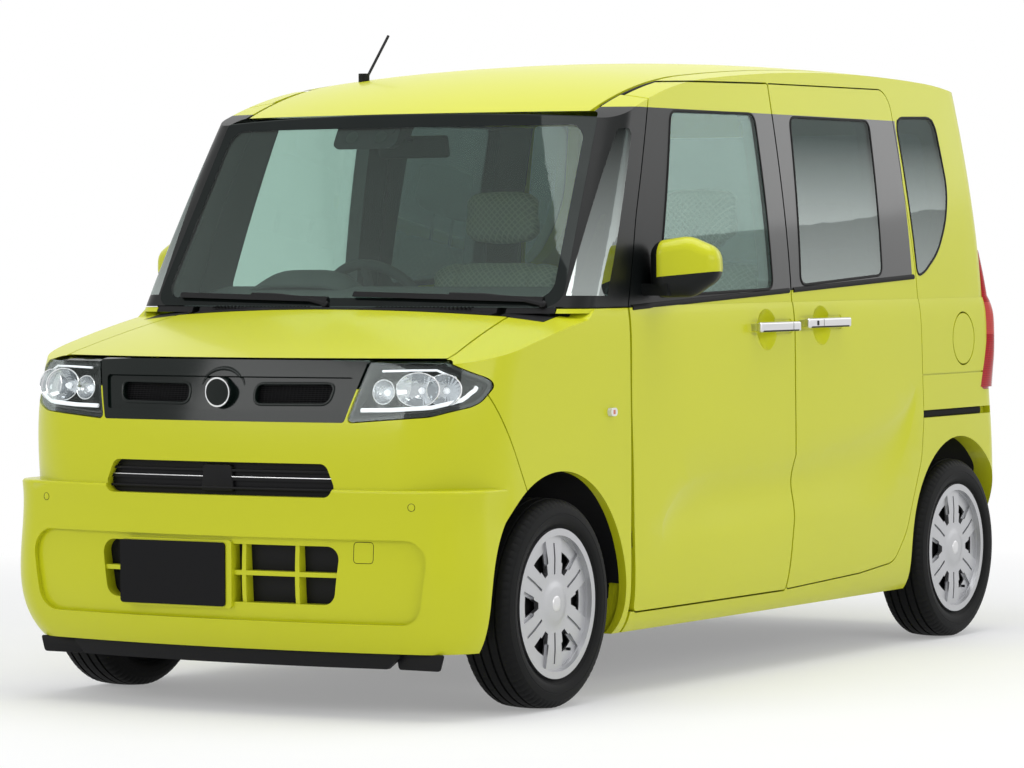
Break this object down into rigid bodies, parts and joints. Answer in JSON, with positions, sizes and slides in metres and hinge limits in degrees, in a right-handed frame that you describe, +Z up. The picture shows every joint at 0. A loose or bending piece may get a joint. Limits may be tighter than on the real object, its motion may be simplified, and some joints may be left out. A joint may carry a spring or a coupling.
{
  "type": "kei car",
  "caption": "Tall two-box kei car with hinged front doors, hood, tailgate and fuel lid, sliding rear doors, steered front wheels and rolling wheels.",
  "frame": {"origin": "middle of the length and width, on the ground under the tyres", "axes": "+X forward, +Y to the car's left, +Z up"},
  "size_m": [3.3926, 1.8288, 1.8246],
  "materials": {
    "paint": "gloss lime yellow paint",
    "gloss_black": "gloss black",
    "dark_plastic": "fine grain black",
    "clear_glass": "clear, faint green",
    "privacy_glass": "dark tint",
    "red_lens": "clear red",
    "chrome": "bright plate",
    "tyre_rubber": "matt rubber",
    "silver_paint": "silver paint",
    "cabin_plastic": "soft grain",
    "seat_fabric": "woven lattice",
    "chassis_steel": "black underseal"
  },
  "bodies": {
    "body": {"fender_left": "paint", "fender_right": "paint", "front_bumper": "paint", "body_side_left": "paint", "body_side_right": "paint", "roof_panel": "paint", "rear_door_left": "paint", "rear_door_right": "paint", "rear_bumper": "paint", "nose_grille": "gloss_black", "front_plate": "gloss_black", "bumper_grille": "dark_plastic", "chin_spoiler": "dark_plastic", "headlamp_housings": "dark_plastic", "cowl_panel": "dark_plastic", "wipers": "dark_plastic", "wheel_liners": "dark_plastic", "antenna": "dark_plastic", "cabin_mirror": "dark_plastic", "headlamp_lenses": "clear_glass", "side_lamps": "clear_glass", "windshield": "clear_glass", "side_glazing": "privacy_glass", "tail_lamps": "red_lens", "rear_handles": "chrome", "dashboard": "cabin_plastic", "front_seats": "seat_fabric", "rear_seat": "seat_fabric", "floor_pan": "chassis_steel", "front_suspension": "chassis_steel", "rear_axle": "chassis_steel", "fuel_tank": "chassis_steel", "exhaust": "chassis_steel", "engine_block": "chassis_steel"},
    "hood": {"hood": "paint"},
    "tailgate": {"tailgate": "paint", "tailgate_glass": "privacy_glass"},
    "door_left": {"door_left": "paint", "door_glass_left": "clear_glass", "mirror_left": "dark_plastic", "handle_left": "chrome"},
    "door_right": {"door_right": "paint", "door_glass_right": "clear_glass", "mirror_right": "dark_plastic", "handle_right": "chrome"},
    "fuel_lid": {"fuel_lid": "paint"},
    "steering_wheel": {"steering_wheel": "cabin_plastic"},
    "knuckle_left": {"knuckle_left": "chassis_steel"},
    "knuckle_right": {"knuckle_right": "chassis_steel"},
    "wheel_front_left": {"tyre_front_left": "tyre_rubber", "wheel_front_left": "silver_paint"},
    "wheel_front_right": {"tyre_front_right": "tyre_rubber", "wheel_front_right": "silver_paint"},
    "wheel_rear_left": {"tyre_rear_left": "tyre_rubber", "wheel_rear_left": "silver_paint"},
    "wheel_rear_right": {"tyre_rear_right": "tyre_rubber", "wheel_rear_right": "silver_paint"}
  },
  "joints": [
    {"name": "steer_left", "type": "hinge", "parent": "body", "child": "knuckle_left", "pos_m": [1.1575, 0.545, 0.275], "axis": [0, 0, 1], "range_deg": [-33, 33]},
    {"name": "steer_right", "type": "hinge", "parent": "body", "child": "knuckle_right", "pos_m": [1.1575, -0.545, 0.275], "axis": [0, 0, 1], "range_deg": [-33, 33]},
    {"name": "steering_wheel_turn", "type": "hinge", "parent": "body", "child": "steering_wheel", "pos_m": [0.361, -0.335, 1.001], "axis": [-0.9063, 0, 0.4226], "range_deg": [-462, 462]},
    {"name": "spin_front_left", "type": "hinge", "parent": "knuckle_left", "child": "wheel_front_left", "pos_m": [1.1575, 0.65, 0.275], "axis": [0, 1, 0], "continuous": true},
    {"name": "spin_rear_left", "type": "hinge", "parent": "body", "child": "wheel_rear_left", "pos_m": [-1.3025, 0.6475, 0.275], "axis": [0, 1, 0], "continuous": true},
    {"name": "spin_front_right", "type": "hinge", "parent": "knuckle_right", "child": "wheel_front_right", "pos_m": [1.1575, -0.65, 0.275], "axis": [0, 1, 0], "continuous": true},
    {"name": "spin_rear_right", "type": "hinge", "parent": "body", "child": "wheel_rear_right", "pos_m": [-1.3025, -0.6475, 0.275], "axis": [0, 1, 0], "continuous": true},
    {"name": "door_left_hinge", "type": "hinge", "parent": "body", "child": "door_left", "pos_m": [0.7405, 0.7165, 0.64], "axis": [0, 0, -1], "range_deg": [0, 65]},
    {"name": "door_right_hinge", "type": "hinge", "parent": "body", "child": "door_right", "pos_m": [0.7405, -0.7165, 0.64], "axis": [0, 0, 1], "range_deg": [0, 65]},
    {"name": "hood_hinge", "type": "hinge", "parent": "body", "child": "hood", "pos_m": [1.04, 0, 0.996], "axis": [0, -1, 0], "range_deg": [0, 40]},
    {"name": "tailgate_hinge", "type": "hinge", "parent": "body", "child": "tailgate", "pos_m": [-1.4825, 0, 1.693], "axis": [0, 1, 0], "range_deg": [0, 80]},
    {"name": "fuel_lid_hinge", "type": "hinge", "parent": "body", "child": "fuel_lid", "pos_m": [-1.29, 0.72115, 0.842], "axis": [0, 0.0209, -0.9998], "range_deg": [0, 75]}
  ],
  "couplings": [
    {"joint": "steer_right", "follows": "steer_left", "ratio": 1},
    {"joint": "steering_wheel_turn", "follows": "steer_left", "ratio": 14}
  ]
}
